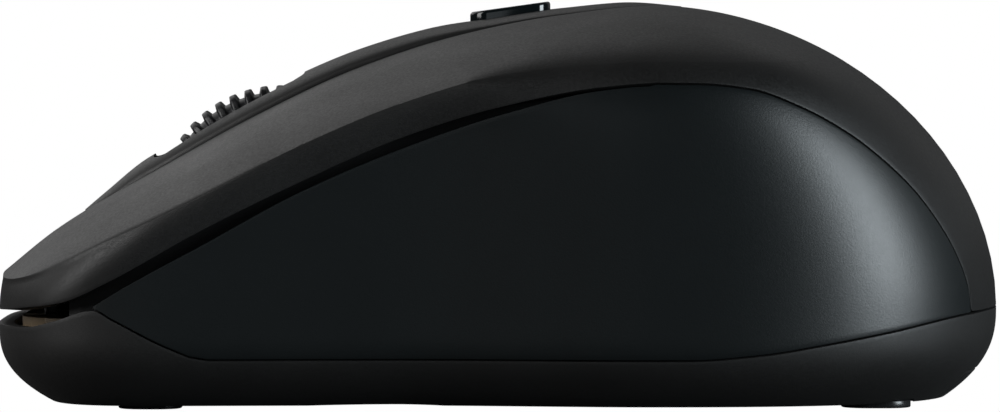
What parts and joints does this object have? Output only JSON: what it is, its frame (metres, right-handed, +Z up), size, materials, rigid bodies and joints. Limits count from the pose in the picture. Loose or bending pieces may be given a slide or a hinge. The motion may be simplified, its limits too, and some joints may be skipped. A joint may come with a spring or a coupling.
{
  "type": "computer mouse",
  "caption": "Cordless computer mouse with sprung buttons, a ribbed scroll wheel, side grips, a raised centre strip and a sliding battery door.",
  "frame": {"origin": "on the surface the mouse stands on, under the middle of its length and width", "axes": "+X from the nose to the tail, +Z up, the left button on the -Y side"},
  "size_m": [0.099, 0.062, 0.0396],
  "materials": {
    "matte_shell": "fine matte grain, dark grey",
    "satin_grip": "near-black satin with a slight teal tint",
    "base_black": "matte black, fine grain",
    "gloss_black": "polished black",
    "tyre_rubber": "matte ribbed rubber",
    "inner_plastic": "moulded black",
    "white_plastic": "natural white moulding",
    "red_plastic": "red moulding",
    "board": "tan paper laminate",
    "steel": "plain bright steel",
    "battery_skin": "printed sleeve with no text",
    "foot": "slick low-friction pad",
    "clear": "clear moulded lens"
  },
  "bodies": {
    "shell": {"base_shell": "base_black", "left_side_panel": "satin_grip", "right_side_panel": "satin_grip", "palm_cover": "matte_shell", "centre_strip": "matte_shell", "front_left_foot": "foot", "front_right_foot": "foot", "rear_left_foot": "foot", "rear_right_foot": "foot", "main_pcb": "board", "dpi_board": "board", "left_switch": "inner_plastic", "right_switch": "inner_plastic", "middle_switch": "inner_plastic", "scroll_encoder": "inner_plastic", "wheel_bracket": "inner_plastic", "saddle_spring": "steel", "dpi_switch": "inner_plastic", "sensor_chip": "inner_plastic", "sensor_lens": "clear", "radio_chip": "inner_plastic", "crystal": "steel", "capacitor": "inner_plastic", "power_switch": "steel", "left_battery": "battery_skin", "right_battery": "battery_skin", "left_contact_plate": "steel", "left_contact_spring": "steel", "right_contact_plate": "steel", "right_contact_spring": "steel", "receiver_cap": "inner_plastic", "receiver_plug": "steel", "case_screw_1": "steel", "case_screw_2": "steel", "case_screw_3": "steel", "board_screw_1": "steel", "board_screw_2": "steel"},
    "left_button": {"left_button": "matte_shell"},
    "right_button": {"right_button": "matte_shell"},
    "left_plunger": {"left_plunger": "red_plastic"},
    "right_plunger": {"right_plunger": "red_plastic"},
    "middle_plunger": {"middle_plunger": "red_plastic"},
    "dpi_button": {"dpi_button": "gloss_black"},
    "dpi_plunger": {"dpi_plunger": "red_plastic"},
    "power_slider": {"power_slider": "red_plastic"},
    "battery_door": {"battery_door": "base_black"},
    "wheel_saddle": {"wheel_saddle": "white_plastic"},
    "wheel": {"wheel_tyre": "tyre_rubber", "wheel_hub": "inner_plastic", "wheel_axle": "white_plastic"}
  },
  "joints": [
    {"name": "left_click", "type": "hinge", "parent": "shell", "child": "left_button", "pos_m": [0.008, 0, 0.033], "axis": [0, -1, 0], "range_deg": [0, 0.9], "stiffness_Nm_per_rad": 1.5},
    {"name": "right_click", "type": "hinge", "parent": "shell", "child": "right_button", "pos_m": [0.008, 0, 0.033], "axis": [0, -1, 0], "range_deg": [0, 0.9], "stiffness_Nm_per_rad": 1.5},
    {"name": "left_plunger_press", "type": "slide", "parent": "shell", "child": "left_plunger", "axis": [0, 0, -1], "range_m": [0, 0.00066]},
    {"name": "right_plunger_press", "type": "slide", "parent": "shell", "child": "right_plunger", "axis": [0, 0, -1], "range_m": [0, 0.00066]},
    {"name": "wheel_click", "type": "hinge", "parent": "shell", "child": "wheel_saddle", "pos_m": [-0.0219, -0.0095, 0.0192], "axis": [-1, 0, 0], "range_deg": [0, 1.4], "stiffness_Nm_per_rad": 1.2, "deforming": ["saddle_spring"]},
    {"name": "wheel_spin", "type": "hinge", "parent": "wheel_saddle", "child": "wheel", "pos_m": [-0.0219, 0, 0.0192], "axis": [0, 1, 0], "continuous": true},
    {"name": "middle_plunger_press", "type": "slide", "parent": "shell", "child": "middle_plunger", "axis": [0, 0, -1], "range_m": [0, 0.00045]},
    {"name": "dpi_press", "type": "slide", "parent": "shell", "child": "dpi_button", "axis": [0, 0, -1], "range_m": [0, 0.00035], "stiffness_N_per_m": 900},
    {"name": "dpi_plunger_press", "type": "slide", "parent": "shell", "child": "dpi_plunger", "axis": [0, 0, -1], "range_m": [0, 0.00036]},
    {"name": "power_slide", "type": "slide", "parent": "shell", "child": "power_slider", "axis": [1, 0, 0], "range_m": [0, 0.0024]},
    {"name": "door_slide", "type": "slide", "parent": "shell", "child": "battery_door", "axis": [1, 0, 0], "range_m": [0, 0.05]}
  ],
  "couplings": [
    {"joint": "left_plunger_press", "follows": "left_click", "m_per_rad": 0.0412},
    {"joint": "right_plunger_press", "follows": "right_click", "m_per_rad": 0.0412},
    {"joint": "middle_plunger_press", "follows": "wheel_click", "m_per_rad": 0.018},
    {"joint": "dpi_plunger_press", "follows": "dpi_press", "ratio": 1}
  ]
}
